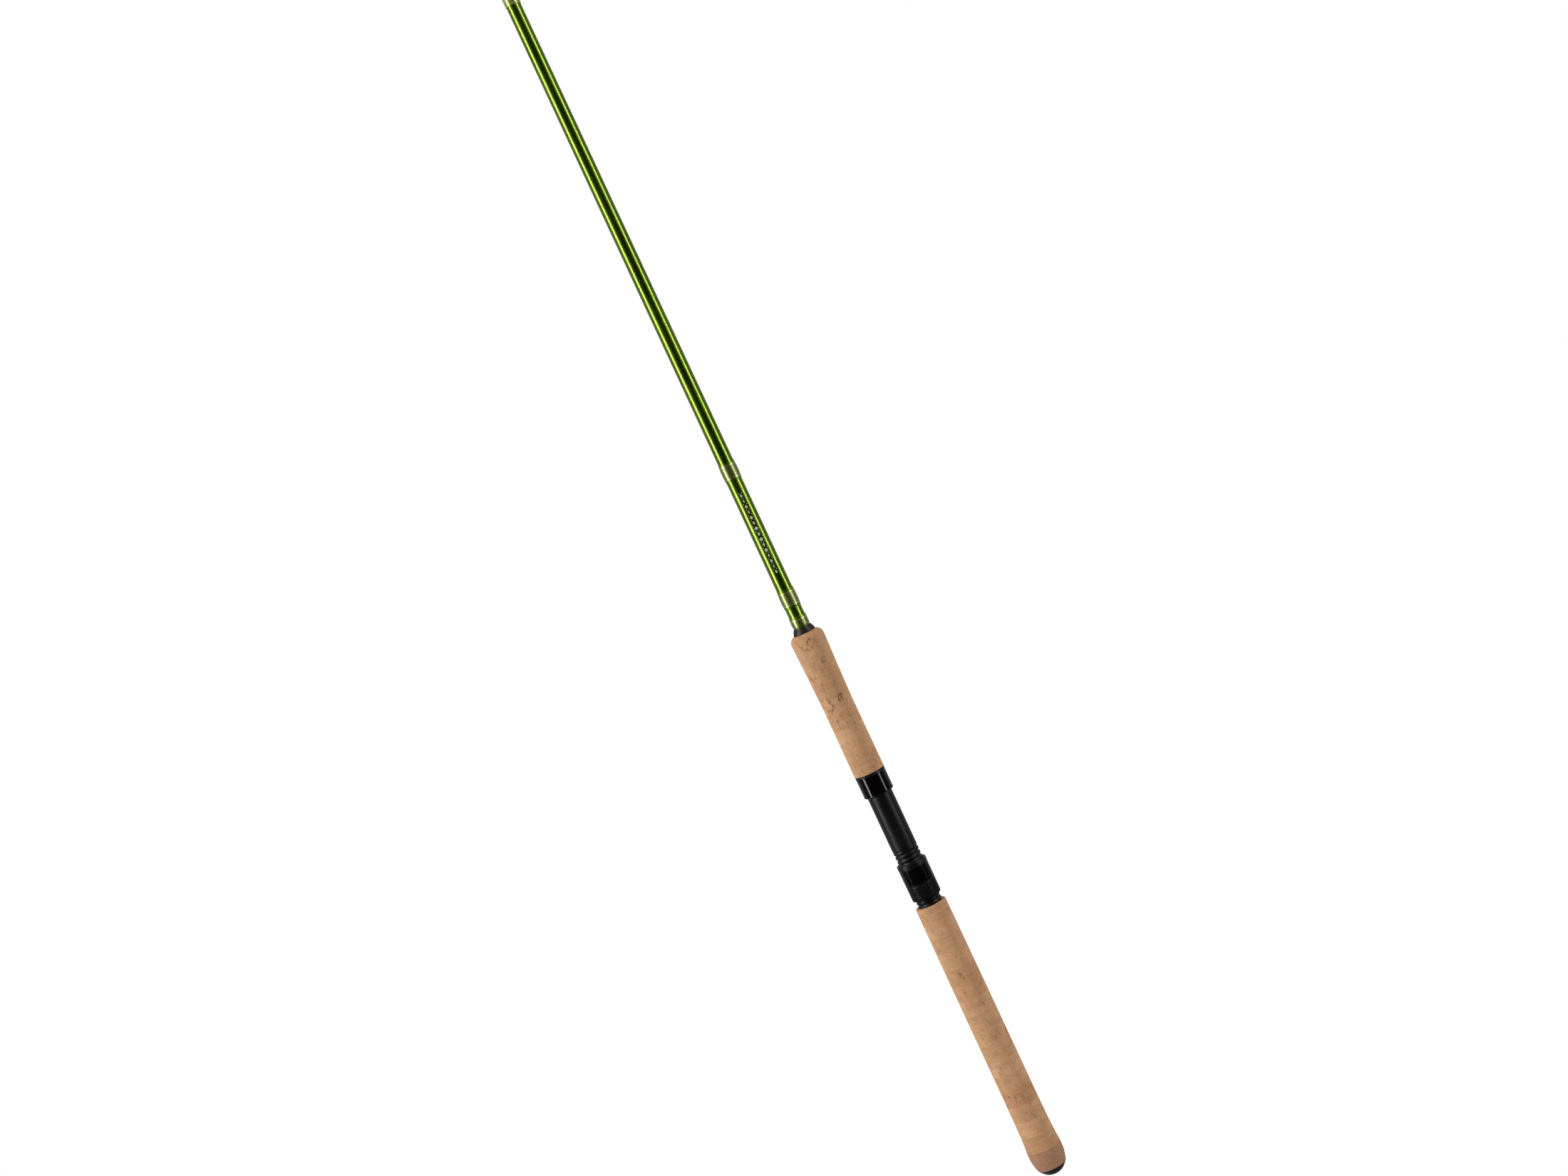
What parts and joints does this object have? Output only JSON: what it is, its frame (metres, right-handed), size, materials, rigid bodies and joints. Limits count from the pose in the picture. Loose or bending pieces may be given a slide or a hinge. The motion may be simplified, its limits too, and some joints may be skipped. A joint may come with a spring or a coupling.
{
  "type": "spinning rod",
  "caption": "Two-piece spinning fishing rod with a slim tapered green blank, natural cork grips, a screw-locking reel seat and ringed line guides.",
  "frame": {"origin": "middle of the butt cap's end face, on the rod's axis", "axes": "+Z along the rod towards its tip, +Y towards the reel foot and the line guides, +X completes the right-handed set"},
  "size_m": [0.0276, 0.0539, 3.048],
  "materials": {
    "blank_lacquer": "translucent green gloss lacquer over dark fibre",
    "cork": "sanded natural cork with fine pits",
    "composite_cork": "sanded speckled composite cork",
    "cap_rubber": "satin black rubber",
    "check_rubber": "satin black rubber",
    "arbor_foam": "raw rigid foam",
    "seat_plastic": "satin black moulded",
    "hood_gloss": "polished black",
    "nut_plastic": "satin black with fine ribs",
    "thread_and_epoxy": "clear epoxy over olive thread",
    "guide_steel": "polished dark steel",
    "guide_ceramic": "polished ceramic"
  },
  "bodies": {
    "butt_section": {"arbor_front": "arbor_foam", "arbor_rear": "arbor_foam", "butt_blank": "blank_lacquer", "butt_cap": "cap_rubber", "butt_ring": "composite_cork", "fixed_hood": "hood_gloss", "fore_cork_ring_01": "cork", "fore_cork_ring_02": "cork", "fore_cork_ring_03": "cork", "fore_cork_ring_04": "cork", "fore_cork_ring_05": "cork", "fore_cork_ring_06": "cork", "fore_cork_ring_07": "cork", "fore_cork_ring_08": "cork", "fore_cork_ring_09": "cork", "guide_1_frame": "guide_steel", "guide_1_ring": "guide_ceramic", "guide_1_wraps": "thread_and_epoxy", "guide_2_frame": "guide_steel", "guide_2_ring": "guide_ceramic", "guide_2_wraps": "thread_and_epoxy", "rear_cork_ring_01": "cork", "rear_cork_ring_02": "cork", "rear_cork_ring_03": "cork", "rear_cork_ring_04": "cork", "rear_cork_ring_05": "cork", "rear_cork_ring_06": "cork", "rear_cork_ring_07": "cork", "rear_cork_ring_08": "cork", "rear_cork_ring_09": "cork", "rear_cork_ring_10": "cork", "rear_cork_ring_11": "cork", "rear_cork_ring_12": "cork", "rear_cork_ring_13": "cork", "rear_cork_ring_14": "cork", "rear_cork_ring_15": "cork", "rear_cork_ring_16": "cork", "reel_seat_body": "seat_plastic", "trim_wrap_lower": "thread_and_epoxy", "trim_wrap_middle": "thread_and_epoxy", "trim_wrap_upper": "thread_and_epoxy", "winding_check": "check_rubber"},
    "sliding_hood": {"moving_hood": "hood_gloss"},
    "lock_nut": {"lock_nut": "nut_plastic"},
    "tip_section": {"ferrule_wrap": "thread_and_epoxy", "guide_3_frame": "guide_steel", "guide_3_ring": "guide_ceramic", "guide_4_frame": "guide_steel", "guide_4_ring": "guide_ceramic", "guide_5_frame": "guide_steel", "guide_5_ring": "guide_ceramic", "guide_6_frame": "guide_steel", "guide_6_ring": "guide_ceramic", "guide_7_frame": "guide_steel", "guide_7_ring": "guide_ceramic", "tip_blank": "blank_lacquer", "tip_guide_wraps": "thread_and_epoxy", "tip_top_frame": "guide_steel", "tip_top_ring": "guide_ceramic", "tip_top_wrap": "thread_and_epoxy"}
  },
  "joints": [
    {"name": "hood_slide", "type": "slide", "parent": "butt_section", "child": "sliding_hood", "axis": [0, 0, 1], "range_m": [-0.004, 0.026]},
    {"name": "nut_turn", "type": "hinge", "parent": "sliding_hood", "child": "lock_nut", "pos_m": [0, 0, 0.2441], "axis": [0, 0, 1], "range_deg": [-415, 2680]},
    {"name": "ferrule_pull", "type": "slide", "parent": "butt_section", "child": "tip_section", "axis": [0, 0, 1], "range_m": [0, 0.1]}
  ],
  "couplings": [
    {"joint": "nut_turn", "follows": "hood_slide", "rad_per_m": 1795.2}
  ]
}
